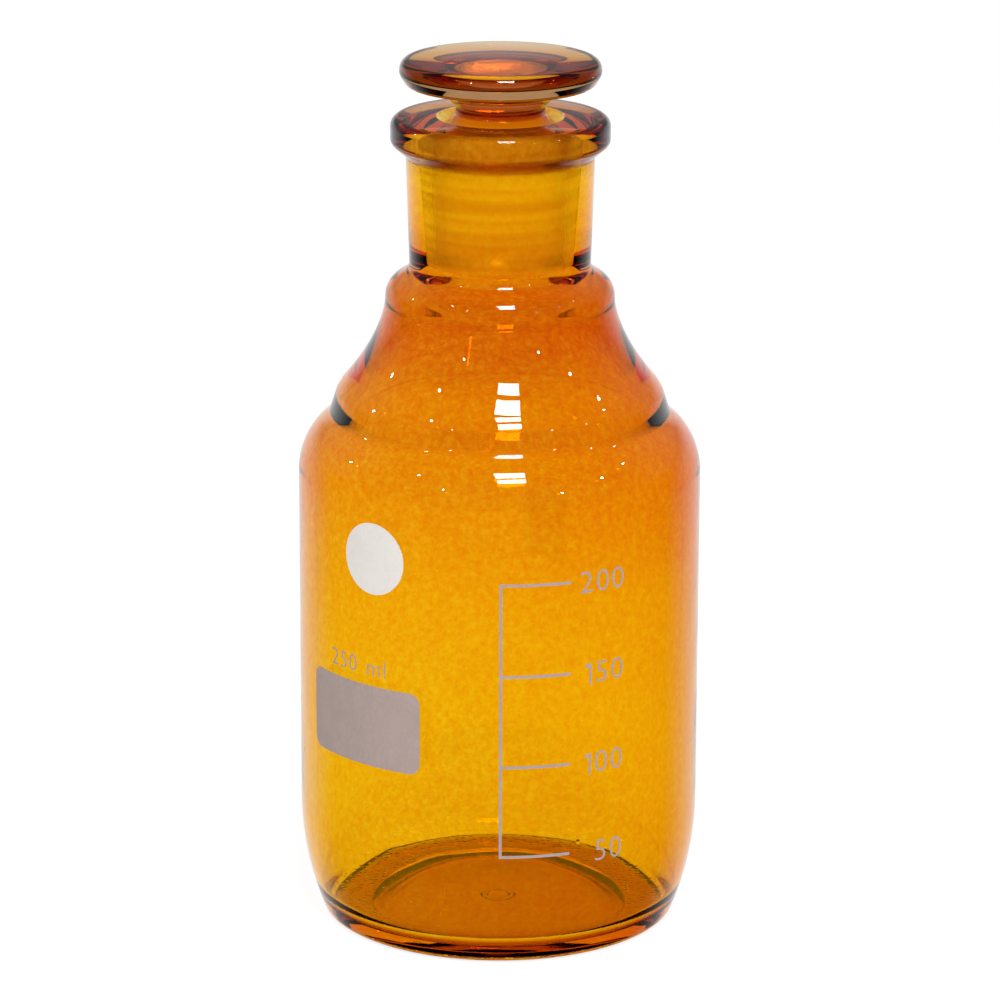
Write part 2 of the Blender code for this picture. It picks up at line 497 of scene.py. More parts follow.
STAIN_GRAIN = Noise(780.0, 3.0, 0.7)
STAIN_CLOUDS = Noise(62.0, 2.0)
NOISE_MIDDLE = 0.5


def stain_group() -> bpy.types.NodeTree:
    """Make the group that gives a fired stain its fine grain, soft clouds and lean to one side.

    Returns:
        The group: its outputs are the stain's colour for two crossings and for one.
    """
    number, colour = "NodeSocketFloat", "NodeSocketColor"
    wanted = {"Shade": colour, "Grain": number, "Clouds": number, "Lean": number}
    offered = {"Two Crossings": colour, "One Crossing": colour}
    tree, given, out = new_group("fired stain", wanted, offered)
    where = tree.place()
    depth = 1.0
    for name, noise in (("Grain", STAIN_GRAIN), ("Clouds", STAIN_CLOUDS)):
        swing = tree.maths("SUBTRACT", tree.noise(where, noise), NOISE_MIDDLE)
        depth = tree.maths("ADD", depth, tree.maths("MULTIPLY", swing, given[name]))
    side = tree.add("ShaderNodeSeparateXYZ", {0: where}).outputs["X"]
    depth = tree.maths("ADD", depth, tree.maths("MULTIPLY", side, given["Lean"]))
    both = tree.add("ShaderNodeGamma", {"Color": given["Shade"], "Gamma": depth}).outputs[0]
    one = tree.add("ShaderNodeGamma", {"Color": both, "Gamma": 0.5}).outputs[0]
    tree.feed(out, {"Two Crossings": both, "One Crossing": one})
    return tree.tree


WAVE_DETAIL = 1.5
SEED_SCALE = 210.0
SEED_DOME = Fade(0.0, 0.16, 1.0, 0.0)
SEED_CHOICE = Fade(0.80, 0.86, 0.0, 1.0)
STIPPLE_SCALE = 900.0
STIPPLE_SPREAD = 0.6
STIPPLE_DOME = Fade(0.0, 0.5, 1.0, 0.0)


def waves_group() -> bpy.types.NodeTree:
    """Make the group for the waves, seeds and stipple that blown and pressed glass shows.

    Returns:
        The group: its output is the surface's normal.
    """
    number = "NodeSocketFloat"
    wanted = {"Size": number, "Height": number, "Seeds": number, "Stipple": number}
    tree, given, out = new_group("glass waves", wanted, {"Normal": "NodeSocketVector"})
    where = tree.place()
    waves = {"Vector": where, "Scale": given["Size"], "Detail": WAVE_DETAIL}
    slow = tree.add("ShaderNodeTexNoise", waves).outputs[0]
    spread = {"Vector": where, "Scale": SEED_SCALE, "Randomness": 1.0}
    cells = tree.add("ShaderNodeTexVoronoi", spread).outputs
    draw = tree.add("ShaderNodeSeparateColor", {0: cells["Color"]}).outputs[0]
    dots = tree.faded(cells["Distance"], SEED_DOME)
    seeds = tree.maths("MULTIPLY", dots, tree.faded(draw, SEED_CHOICE))
    packed = {"Vector": where, "Scale": STIPPLE_SCALE, "Randomness": STIPPLE_SPREAD}
    close = tree.add("ShaderNodeTexVoronoi", packed).outputs["Distance"]
    rise = tree.maths("MULTIPLY", slow, given["Height"])
    rise = tree.maths("ADD", rise, tree.maths("MULTIPLY", seeds, given["Seeds"]))
    pits = tree.maths("MULTIPLY", tree.faded(close, STIPPLE_DOME), given["Stipple"])
    tree.feed(out, {"Normal": tree.bump(tree.maths("ADD", rise, pits), 1.0, MM)})
    return tree.tree


class Shared(Enum):
    """The shader node groups that more than one finish uses."""

    STAIN = "fired stain"
    WAVES = "glass waves"

    def group(self) -> bpy.types.NodeTree:
        """Return the group, which is built the first time that it is asked for."""
        makers = {Shared.STAIN: stain_group, Shared.WAVES: waves_group}
        return bpy.data.node_groups.get(self.value) or makers[self]()

    def put(self, tree: Tree, inputs: NodeInputs) -> bpy.types.NodeOutputs:
        """Place the group in a material and return its outputs."""
        return tree.add("ShaderNodeGroup", inputs, node_tree=self.group()).outputs


# ---- Finishes ----


GLASS_IOR = 1.473


def new_material(name: str) -> tuple[bpy.types.Material, Tree, bpy.types.Node]:
    """Make a node material.

    Args:
        name: Name of the material.

    Returns:
        The material, its tree and its Principled shader.
    """
    made = bpy.data.materials.new(name)
    made.use_nodes = True
    return made, Tree(made.node_tree), made.node_tree.nodes["Principled BSDF"]


@dataclass(frozen=True)
class ClearGlass:
    """An unstained face of the glass.

    Attributes:
        name: Name of the material.
        waves: Height of its soft waves, in millimetres.
        wave_size: How close the waves are, for each metre.
        tint: Colour of the face.
    """

    name: str
    waves: float = 0.03
    wave_size: float = 95.0
    tint: Colour = (0.995, 0.99, 0.97)

    def build(self) -> bpy.types.Material:
        """Make the material.

        Returns:
            The material.
        """
        made, tree, shader = new_material(self.name)
        waves = Shared.WAVES.put(tree, {"Size": self.wave_size, "Height": self.waves})
        glass = {"Roughness": 0.0, "IOR": GLASS_IOR, "Transmission Weight": 1.0}
        tree.feed(shader, {**glass, "Base Color": (*self.tint, 1.0), "Normal": waves["Normal"]})
        return made


@dataclass(frozen=True)
class GroundGlass:
    """A ground face of the joint: matt, with fine turning marks and soft streaks round it.

    Attributes:
        name: Name of the material.
        smooth: Roughness between the marks.
        rough: Roughness in the marks.
        ior: Index across the face, low because the two faces nearly touch.
        marks: Pattern of the marks, once it is squeezed.
        mark_range: Values of the pattern between which it turns from smooth to rough.
        mark_squeeze: How close the marks are round the joint and up it, for each metre.
        mark_depth: Depth of the marks, in millimetres.
        mark_strength: How much of the depth shows.
        streaks: Pattern of the streaks, once it is squeezed.
        streak_squeeze: How close the streaks are round the joint and up it, for each metre.
        shades: Values of the streaks' pattern, and the colour at each.
    """

    name: str
    smooth: float = 0.38
    rough: float = 0.58
    ior: float = 1.16
    marks: Noise = Noise(1.0, 4.0)
    mark_range: tuple[float, float] = (0.35, 0.65)
    mark_squeeze: tuple[float, float, float] = (40.0, 40.0, 900.0)
    mark_depth: float = 0.01
    mark_strength: float = 0.6
    streaks: Noise = Noise(1.0, 2.0)
    streak_squeeze: tuple[float, float, float] = (10.0, 10.0, 460.0)
    shades: tuple[tuple[float, Colour], ...] = (
        (0.40, (0.88, 0.74, 0.52)),
        (0.60, (0.99, 0.985, 0.96)),
    )

    def build(self) -> bpy.types.Material:
        """Make the material.

        Returns:
            The material.
        """
        made, tree, shader = new_material(self.name)
        where = tree.place()
        squeezed = tree.add("ShaderNodeMapping", {"Vector": where, "Scale": self.mark_squeeze})
        marks = tree.noise(squeezed.outputs[0], self.marks)
        squeezed = tree.add("ShaderNodeMapping", {"Vector": where, "Scale": self.streak_squeeze})
        streaks = tree.noise(squeezed.outputs[0], self.streaks)
        surface = {
            "Roughness": tree.faded(marks, Fade(*self.mark_range, self.smooth, self.rough)),
            "Base Color": tree.ramp(streaks, self.shades),
            "Normal": tree.bump(marks, self.mark_strength, self.mark_depth * MM),
        }
        tree.feed(shader, {**surface, "IOR": self.ior, "Transmission Weight": 1.0})
        return made


@dataclass(frozen=True)
class StainedGlass:
    """A face of the glass with amber stain burnt into it, deeper at some heights than at others,
    and with painted shade in some of its bands.

    Light that is thrown back inside the glass crosses the stain on its way to the face and again
    on its way back, so the inner mirror of the face is as deep in colour as both walls together.

    Attributes:
        name: Name of the material.
        bands: Heights above the base in millimetres, and the colour of light that crosses twice.
        grain: Strength of the stain's fine grain.
        clouds: Strength of its soft clouds.
        lean: How much deeper it is for each metre to the right.
        waves: Height of the soft waves of the face, in millimetres.
        wave_size: How close the waves are, for each metre.
        seeds: Height of the small seeds in the face, in millimetres.
        stipple: Height of the close-set dots of a moulded face, in millimetres.
        roughness: Roughness of the face.
    """

    name: str
    bands: tuple[tuple[float, Colour], ...]
    grain: float = 1.3
    clouds: float = 0.35
    lean: float = 4.5
    waves: float = 0.05
    wave_size: float = 80.0
    seeds: float = 0.012
    stipple: float = 0.0
    roughness: float = 0.0

    def build(self) -> bpy.types.Material:
        """Make the material.

        Returns:
            The material.
        """
        made, tree, shader = new_material(self.name)
        stain = self._stain(tree)
        waves = {"Size": self.wave_size, "Height": self.waves}
        waves = {**waves, "Seeds": self.seeds, "Stipple": self.stipple}
        face = {"Roughness": self.roughness, "Normal": Shared.WAVES.put(tree, waves)["Normal"]}
        index = {"IOR": GLASS_IOR}
        outside = {"Base Color": stain["Two Crossings"], "Transmission Weight": 1.0}
        tree.feed(shader, {**outside, **face, **index})
        leaving = {"Color": stain["One Crossing"], **face, **index}
        staying = {"Color": stain["Two Crossings"], **face}
        inside = {
            0: tree.add("ShaderNodeFresnel", {"Normal": face["Normal"], **index}).outputs[0],
            1: tree.add("ShaderNodeBsdfRefraction", leaving).outputs[0],
            2: tree.add("ShaderNodeBsdfAnisotropic", staying).outputs[0],
        }
        sides = {
            0: tree.add("ShaderNodeNewGeometry").outputs["Backfacing"],
            1: shader.outputs[0],
            2: tree.add("ShaderNodeMixShader", inside).outputs[0],
        }
        both = tree.add("ShaderNodeMixShader", sides).outputs[0]
        tree.feed(made.node_tree.nodes["Material Output"], {"Surface": both})
        return made

    def _stain(self, tree: Tree) -> bpy.types.NodeOutputs:
        """Add the colour by height, which is stain with painted shade in some bands, with its
        grain, clouds and lean.

        Args:
            tree: The material's tree.

        Returns:
            The outputs of the stain's group, which are its two depths.
        """
        low, high = self.bands[0][0], self.bands[-1][0]
        height = tree.add("ShaderNodeSeparateXYZ", {0: tree.place()}).outputs["Z"]
        limits = {"Value": height, "From Min": low * MM, "From Max": high * MM}
        share = tree.add("ShaderNodeMapRange", limits).outputs[0]
        shade = tree.ramp(share, [((z - low) / (high - low), colour) for z, colour in self.bands])
        depths = {"Grain": self.grain, "Clouds": self.clouds, "Lean": self.lean}
        return Shared.STAIN.put(tree, {"Shade": shade, **depths})


@dataclass(frozen=True)
class Enamel:
    """Fired ceramic enamel, slightly grainy and matt.

    Attributes:
        name: Name of the material.
        thin: Colour where the enamel is thin.
        thick: Colour where it is thick.
        grain: Height of its grain, in millimetres.
        grain_strength: How much of the grain shows.
        specks: Pattern of its grain.
        clouds: Pattern of its thin and thick places.
        speck_share: Share of the grain in the colour; the clouds have the rest.
        matt: Roughness over the pattern.
    """

    name: str
    thin: Colour
    thick: Colour
    grain: float = 0.02
    grain_strength: float = 0.5
    specks: Noise = Noise(1500.0, 3.0)
    clouds: Noise = Noise(260.0, 2.0)
    speck_share: float = 0.6
    matt: Fade = Fade(0.35, 0.65, 0.42, 0.62)

    def build(self) -> bpy.types.Material:
        """Make the material.

        Returns:
            The material.
        """
        made, tree, shader = new_material(self.name)
        where = tree.place()
        specks = tree.noise(where, self.specks)
        fine = tree.maths("MULTIPLY", specks, self.speck_share)
        soft = tree.maths("MULTIPLY", tree.noise(where, self.clouds), 1.0 - self.speck_share)
        mixed = tree.maths("ADD", fine, soft)
        surface = {
            "Base Color": tree.ramp(mixed, ((0.40, self.thin), (0.60, self.thick))),
            "Roughness": tree.faded(mixed, self.matt),
            "Normal": tree.bump(specks, self.grain_strength, self.grain * MM),
        }
        tree.feed(shader, surface)
        return made


# Colour of the amber glass by height, deepest round the bell and shoulder. The two dark bands at
# the lip, from 136 mm up, are stain with painted shade in it: the darkness that the thick rim shows
# where light is thrown back inside it.
BOTTLE_STAIN_AND_SHADE = (
    (0.0, (0.86, 0.39, 0.001)),
    (8.0, (0.84, 0.34, 0.001)),
    (16.0, (0.86, 0.40, 0.001)),
    (25.0, (0.87, 0.42, 0.001)),
    (45.0, (0.87, 0.40, 0.001)),
    (63.0, (0.85, 0.335, 0.001)),
    (80.0, (0.80, 0.215, 0.001)),
    (90.0, (0.78, 0.215, 0.001)),
    (97.0, (0.76, 0.20, 0.001)),
    (104.0, (0.66, 0.10, 0.001)),
    (111.0, (0.68, 0.13, 0.001)),
    (115.5, (0.79, 0.21, 0.001)),
    (119.0, (0.87, 0.31, 0.001)),
    (123.5, (0.90, 0.41, 0.001)),
    (132.0, (0.95, 0.48, 0.001)),
    (136.0, (0.42, 0.10, 0.002)),
    (140.7, (0.55, 0.18, 0.020)),
)
# Colour of the stopper's amber glass by height. Its dark and greyish bands, from the waist to the
# rim of the head, are stain with painted shade in it: the darkness that the thick glass shows where
# light is thrown back inside it.
STOPPER_STAIN_AND_SHADE = (
    (138.0, (0.70, 0.22, 0.004)),
    (141.5, (0.30, 0.018, 0.001)),
    (143.6, (0.32, 0.020, 0.001)),
    (145.4, (0.56, 0.17, 0.030)),
    (147.0, (0.44, 0.23, 0.100)),
    (149.9, (0.44, 0.25, 0.120)),
    (150.5, (0.88, 0.54, 0.010)),
)


# ---- The glass ----


@dataclass
class Bottle:
    """The blown body with its stepped shoulder, thick neck, lip and ground socket.

    Names with handles in them are the Bezier handles of a stretch, names with turn in them are
    angles in degrees, and names with drops in them are pairs of a distance from the axis and a
    depth below the raised middle of the base.
    """

    sides: int = 192
    body_r: float = 34.5
    wall: float = 2.9
    rim_top: float = 140.7
    mouth_r: float = 10.9
    mouth_edge: Corner = Corner(10.7, 140.35, 0.5)
    lip: tuple[Corner, ...] = (Corner(18.65, 140.7, 1.6), Corner(18.65, 136.3, 1.5))
    neck: tuple[Corner, ...] = (Corner(16.05, 134.1, 1.2), Corner(15.42, 114.6, 2.0))
    neck_root: Corner = Corner(19.5, 111.9, 4.0)
    bell: Bezier = ((19.6, 108.9), (20.1, 104.5), (23.2, 98.9), (27.0, 94.7))
    ledge: tuple[Corner, ...] = (Corner(28.0, 93.1, 2.4), Corner(29.15, 89.5, 3.4))
    shoulder_foot: float = 79.2
    shoulder_r: float = 11.8
    shoulder_turn: float = 50.0
    heel_top: float = 20.2
    heel_sweep_r: float = 51.8
    heel_corner_r: float = 1.6
    bearing_inner: Corner = Corner(22.0, 0.0, 0.2)
    base_edge: Corner = Corner(21.7, 0.2)
    base_height: float = 0.5
    base_drops: tuple[Point, ...] = ((16.0, 0.18), (9.0, 0.05))
    base_rounding: float = 4.0
    ring_drops: tuple[Point, ...] = ((3.1, 0.0), (2.7, 0.25), (2.1, 0.25), (1.7, 0.0))
    ring_rounding: float = 0.3
    floor_top: float = 2.9
    floor_corner: Point = (26.0, 7.2)
    floor_corner_r: float = 4.5
    floor_corner_turn: float = -10.0
    side_handles: tuple[Point, Point] = ((31.0, 10.0), (31.6, 14.0))
    inner_shoulder_turn: float = 48.0
    inner_bell_handles: tuple[Point, Point] = ((24.9, 89.2), (19.4, 97.5))
    inner_bell_top: Point = (16.2, 106.4)
    inner_root_handles: tuple[Point, Point] = ((15.1, 110.6), (9.9, 111.4))
    socket_top: Point = (9.5, 139.4)
    socket_foot: float = 115.2
    taper: float = 0.05

    def socket_r(self, height: float) -> float:
        """Radius of the ground socket at a height."""
        return self.socket_top[0] - self.taper * (self.socket_top[1] - height)

    def shoulder(self, radius: float, turn: float, steps: int) -> list[Corner]:
        """Outline of the round shoulder, outside or inside, from its upper end to the wall."""
        centre = (self.body_r - self.shoulder_r, self.shoulder_foot)
        return arc(centre, radius, turn, 0.0, steps)

    def outer(self) -> list[Corner]:
        """Outline of the outside, from the mouth's edge to the heel's small corner.

        Returns:
            The outline, downwards.
        """
        bell_top = Corner(*self.bell[0])
        mouth = Corner(self.mouth_r, self.rim_top)
        upper = rounded([mouth, *self.lip, *self.neck, self.neck_root, bell_top])
        bell = sweep(self.bell, steps=24)
        shoulder = self.shoulder(self.shoulder_r, self.shoulder_turn, steps=22)
        step = rounded([*bell[-2:], *self.ledge, *shoulder[:2]])[1:-2]
        return [*upper[:-1], *bell[:-1], *step, *shoulder, *self.heel()]

    def heel_corner(self) -> tuple[Point, float]:
        """Place the heel's small corner.

        Returns:
            Its centre, and the angle where it starts, which is below the horizontal.
        """
        reach = self.heel_sweep_r - self.heel_corner_r
        turn = asin((self.heel_top - self.heel_corner_r) / reach)
        centre = (self.body_r - self.heel_sweep_r + reach * cos(turn), self.heel_corner_r)
        return centre, -degrees(turn)

    def heel(self) -> list[Corner]:
        """Outline of the heel's long sweep from the wall."""
        centre = (self.body_r - self.heel_sweep_r, self.heel_top)
        return arc(centre, self.heel_sweep_r, 0.0, self.heel_corner()[1], steps=20)

    def bearing(self) -> list[Corner]:
        """Outline of the heel's small corner, the stippled bearing ring and the step inside it.

        Returns:
            The outline, inwards.
        """
        centre, start = self.heel_corner()
        corner = arc(centre, self.heel_corner_r, start, DOWN, steps=8)
        step = rounded([corner[-1], self.bearing_inner, self.base_edge])
        return [*corner, *step[1:]]

    def base(self) -> list[Corner]:
        """Outline of the slightly raised middle of the base, with its small moulded ring.

        Returns:
            The outline, inwards.
        """
        top = self.base_height
        slope = [Corner(r, top - drop, self.base_rounding) for r, drop in self.base_drops]
        ring = [Corner(r, top - drop, self.ring_rounding) for r, drop in self.ring_drops]
        return rounded([self.base_edge, *slope, *ring, Corner(0.0, top)])

    def inner(self) -> list[Corner]:
        """Outline of the inside, from the middle of the floor to the foot of the ground socket.

        Returns:
            The outline, upwards.
        """
        floor_corner = (self.floor_corner, self.floor_corner_r, DOWN, self.floor_corner_turn)
        floor = [Corner(0.0, self.floor_top), *arc(*floor_corner, steps=16)]
        wall_foot = (self.body_r - self.wall, self.heel_top)
        side = sweep(((floor[-1].r, floor[-1].z), *self.side_handles, wall_foot), steps=8)
        inner_r = self.shoulder_r - self.wall
        shoulder = self.shoulder(inner_r, self.inner_shoulder_turn, steps=16)[::-1]
        top = (shoulder[-1].r, shoulder[-1].z)
        bell = sweep((top, *self.inner_bell_handles, self.inner_bell_top), steps=20)
        foot = (self.socket_r(self.socket_foot), self.socket_foot)
        root = sweep((self.inner_bell_top, *self.inner_root_handles, foot), steps=16)
        return [*floor, *side[1:], *shoulder, *bell[1:], *root[1:]]

    def socket(self) -> list[Corner]:
        """Outline of the ground socket."""
        return [Corner(self.socket_r(self.socket_foot), self.socket_foot), Corner(*self.socket_top)]

    def mouth(self) -> list[Corner]:
        """Outline of the fire-polished edge between the socket and the rim."""
        rim = Corner(self.mouth_r, self.rim_top)
        return rounded([Corner(*self.socket_top), self.mouth_edge, rim])

    def build(self) -> bpy.types.Object:
        """Turn the bottle's faces, close them into one body of glass and settle it.

        Returns:
            The bottle.
        """
        # The outside's colour bands hold painted shade at the lip.
        amber = StainedGlass("amber stained glass with painted shade", BOTTLE_STAIN_AND_SHADE).build()
        clear = ClearGlass("inner face of the glass").build()
        ground = GroundGlass("ground socket").build()
        stippled = StainedGlass(
            "stippled stained glass", BOTTLE_STAIN_AND_SHADE, stipple=0.06, roughness=0.22
        ).build()
        skins = [
            turned("outside", self.outer(), self.sides, amber),
            turned("bearing ring", self.bearing(), self.sides, stippled),
            turned("raised base", self.base(), self.sides, amber),
            turned("inside", self.inner(), self.sides, clear),
            turned("socket", self.socket(), self.sides, ground),
            turned("mouth", self.mouth(), self.sides, clear),
        ]
        return settle(closed("bottle_glass", skins), Body.BOTTLE, ["bottle"])


@dataclass
class Stopper:
    """The solid stopper: flat head, waist and ground plug."""

    sides: int = 160
    top: float = 150.5
    head: tuple[Corner, ...] = (
        Corner(16.8, 150.5, 1.6),
        Corner(17.2, 148.2, 1.6),
        Corner(16.0, 146.2, 1.4),
    )
    waist: tuple[Corner, ...] = (
        Corner(9.4, 144.4, 2.0),
        Corner(7.5, 142.5, 1.0),
        Corner(7.7, 141.2, 1.0),
    )
    collar: float = 139.0
    collar_rounding: float = 0.2
    gap: float = 0.05
    plug_top: float = 138.8
    plug_low: float = 116.2
    plug_foot: float = 115.6
    foot_draft: float = 0.03
    foot_rounding: float = 0.5

    def plug(self, bottle: Bottle) -> list[Corner]:
        """Outline of the ground side of the plug, with its gap to the socket."""
        heights = (self.plug_top, self.plug_low)
        return [Corner(bottle.socket_r(height) - self.gap, height) for height in heights]

    def upper(self, bottle: Bottle) -> list[Corner]:
        """Outline of the head and the waist, down to the ground plug.

        Args:
            bottle: The bottle whose socket the plug fits.

        Returns:
            The outline, downwards.
        """
        collar_r = bottle.socket_r(self.collar) - self.gap
        collar = Corner(collar_r, self.collar, self.collar_rounding)
        middle = Corner(0.0, self.top)
        return rounded([middle, *self.head, *self.waist, collar, self.plug(bottle)[0]])

    def foot(self, bottle: Bottle) -> list[Corner]:
        """Outline of the plug's foot, from its ground side to the axis.

        Args:
            bottle: The bottle whose socket the plug fits.

        Returns:
            The outline, inwards.
        """
        start = self.plug(bottle)[-1]
        edge = Corner(start.r - self.foot_draft, self.plug_foot, self.foot_rounding)
        return rounded([start, edge, Corner(0.0, self.plug_foot)])

    def build(self, bottle: Bottle) -> bpy.types.Object:
        """Turn the stopper's faces, close them into one body of glass and settle it.

        Args:
            bottle: The bottle whose socket the plug fits.

        Returns:
            The stopper.
        """
        amber = StainedGlass(
            "stained stopper glass with painted shade", STOPPER_STAIN_AND_SHADE, grain=0.2, clouds=0.3, lean=0.0
        ).build()
        ground = GroundGlass("ground plug").build()
        clear = ClearGlass("foot of the plug", waves=0.05).build()
        skins = [
            turned("head", self.upper(bottle), self.sides, amber),
            turned("plug", self.plug(bottle), self.sides, ground),
            turned("foot", self.foot(bottle), self.sides, clear),
        ]
        return settle(closed("stopper_glass", skins), Body.STOPPER, ["stopper"])


# ---- The enamel ----


@dataclass
class EnamelMarks:
    """The enamel fired on to the front: the disc and panel to write on, the scale and its figures.

    Names with deg in them are angles in degrees to the right of the front. The sizes of the
    figure 1 are shares of its row's size, but one_line is the width of its stroke in millimetres
    and flag_join is a share of that width.
    """

    body_r: float = 34.5
    lift: float = 0.02
    thick: float = 0.06
    slice: float = 1.0
    line: float = 0.5
    stem_deg: float = 0.5
    tick_end_deg: float = 20.3
    first_tick: float = 20.5
    tick_step: float = 15.95
    numbers: tuple[str, ...] = ("50", "100", "150", "200")
    number_end_deg: float = 37.6
    number_rise: float = -0.45
    number_size: float = 5.5
    panel_deg: tuple[float, float] = (-64.6, -22.6)
    panel_z: tuple[float, float] = (34.1, 48.4)
    panel_corner: float = 2.0
    spot_deg: float = -37.8
    spot_z: float = 70.8
    spot_r: float = 6.2
    capacity: str = "250 ml"
    capacity_size: float = 4.25
    capacity_deg: float = -43.6
    capacity_z: float = 51.5
    pitch: float = 0.553
    thinning: float = 0.012
    one_line: float = 0.4
    one_shift: float = 0.16
    one_top: float = 0.34
    flag_tip: float = 0.17
    flag_drops: tuple[float, float] = (0.04, 0.15)
    flag_join: float = 1.3

    def build(self) -> None:
        """Make every mark and settle it on the bottle."""
        white = Enamel("white enamel", (0.885, 0.835, 0.78), (0.915, 0.865, 0.81)).build()
        grey = Enamel("lilac-grey enamel", (0.46, 0.36, 0.35), (0.50, 0.395, 0.385)).build()
        panel = Enamel("panel enamel", (0.47, 0.36, 0.325), (0.51, 0.39, 0.355)).build()
        self._wrap(self._spot(), self.spot_deg, self.spot_z, white, Slot.WHITE, ["marking_spot"])
        middle = (sum(self.panel_deg) / 2.0, sum(self.panel_z) / 2.0)
        self._wrap(self._panel(), *middle, panel, Slot.GREY, ["label_panel"])
        foot = (self.stem_deg, self.first_tick)
        self._wrap(self._scale(), *foot, grey, Slot.GREY, ["graduation_scale"])
        for index, number in enumerate(self.numbers):
            angle = self.number_end_deg - self._half_row(number, self.number_size)
            height = self.first_tick + index * self.tick_step + self.number_rise
            stem = f"scale_number_{number}"
            self._row(stem, number, self.number_size, angle, height, grey)
        place = (self.capacity_size, self.capacity_deg, self.capacity_z)
        self._row("capacity_mark", self.capacity, *place, grey)

    def _half_row(self, letters: str, size: float) -> float:
        """Half of a row's width, in degrees round the bottle."""
        return degrees(self.pitch * size * len(letters) / 2.0 / self.body_r)

    def _spot(self) -> bpy.types.Object:
        """Make the flat disc.

        Returns:
            The disc, in the XY plane.
        """
        bpy.ops.object.select_all(action="DESELECT")
        bpy.ops.mesh.primitive_circle_add(vertices=96, radius=self.spot_r * MM, fill_type="NGON")
        return named("marking_spot_enamel")

    def _panel(self) -> bpy.types.Object:
        """Make the flat rectangle with round corners.

        Returns:
            The rectangle, in the XY plane.
        """
        width = radians(self.panel_deg[1] - self.panel_deg[0]) * self.body_r
        height = self.panel_z[1] - self.panel_z[0]
        bpy.ops.object.select_all(action="DESELECT")
        bpy.ops.mesh.primitive_plane_add(size=1.0, location=ORIGIN)
        piece = named("label_panel_enamel")
        bpy.ops.object.mode_set(mode="EDIT")
        bpy.ops.mesh.select_all(action="SELECT")
        bpy.ops.transform.resize(value=(width * MM, height * MM, 1.0))
        bpy.ops.mesh.bevel(offset=self.panel_corner * MM, segments=8, affect="VERTICES")
        bpy.ops.object.mode_set(mode="OBJECT")
        return piece

    def _scale(self) -> bpy.types.Object:
        """Make the flat stem with its ticks, as one outline.

        Returns:
            The scale, in the XY plane, with the foot of its stem at the origin.
        """
        reach = radians(self.tick_end_deg - self.stem_deg) * self.body_r
        half = self.line / 2.0
        last = self.tick_step * (len(self.numbers) - 1)
        outline = [(-half, last + half), (-half, -half)]
        for index in range(len(self.numbers)):
            level = index * self.tick_step
            outline += [(reach, level - half), (reach, level + half)]
            if index < len(self.numbers) - 1:
                outline += [(half, level + half), (half, level + self.tick_step - half)]
        return filled("graduation_scale_enamel", outline)

    def _row(
        self,
        stem: str,
        letters: str,
        size: float,
        angle: float,
        height: float,
        finish: bpy.types.Material,
    ) -> None:
        """Make a row of figures and letters, each in a place of the same width, and wrap it.

        Args:
            stem: Start of the row's name and of its CAD nodes' names.
            letters: What the row says.
            size: Size of its letters, in millimetres.
            angle: Angle of its middle to the right of the front, in degrees.
            height: Height of its middle, in millimetres.
            finish: Its enamel.
        """
        flats, nodes = [], []
        for index, letter in enumerate(letters):
            if letter != " ":
                place = self.pitch * size * (index + 0.5 - len(letters) / 2.0)
                make = self._one if letter == "1" else self._glyph
                flats.append(make(letter, size, place))
                nodes.append(f"{stem}_{index + 1}_{letter}")
        self._wrap(joined(stem + "_enamel", flats), angle, height, finish, Slot.GREY, nodes)

    def _glyph(self, letter: str, size: float, place: float) -> bpy.types.Object:
        """Make one flat figure or letter in the plain built-in face.

        Args:
            letter: The figure or letter.
            size: Its size, in millimetres.
            place: Its middle along the row, in millimetres.

        Returns:
            The figure or letter, in the XY plane.
        """
        bpy.ops.object.select_all(action="DESELECT")
        bpy.ops.object.text_add(location=(place * MM, 0.0, 0.0))
        text = bpy.context.object.data
        text.body = letter
        text.size = size * MM
        text.align_x = "CENTER"
        text.align_y = "CENTER"
        text.offset = -self.thinning * size * MM
        text.resolution_u = 5
        bpy.ops.object.convert(target="MESH")
        bpy.ops.object.transform_apply(location=True, rotation=True, scale=True)
        return bpy.context.object

    def _one(self, letter: str, size: float, place: float) -> bpy.types.Object:
        """Make a flat figure 1 with a flag, which the built-in face draws without one.

        Args:
            letter: The figure, for its name.
            size: Its size, in millimetres.
            place: The middle of its place along the row, in millimetres.

        Returns:
            The figure, in the XY plane.
        """
        half = self.one_line / 2.0
        top, tip = self.one_top * size, -self.flag_tip * size
        flag = [(tip, top - drop * size) for drop in self.flag_drops]
        flag.append((-half, top - self.flag_join * self.one_line))
        outline = [(half, -top), (half, top), (-half, top), *flag, (-half, -top)]
        middle = place + self.one_shift * size
        return filled(f"figure_{letter}", [(middle + x, y) for x, y in outline])

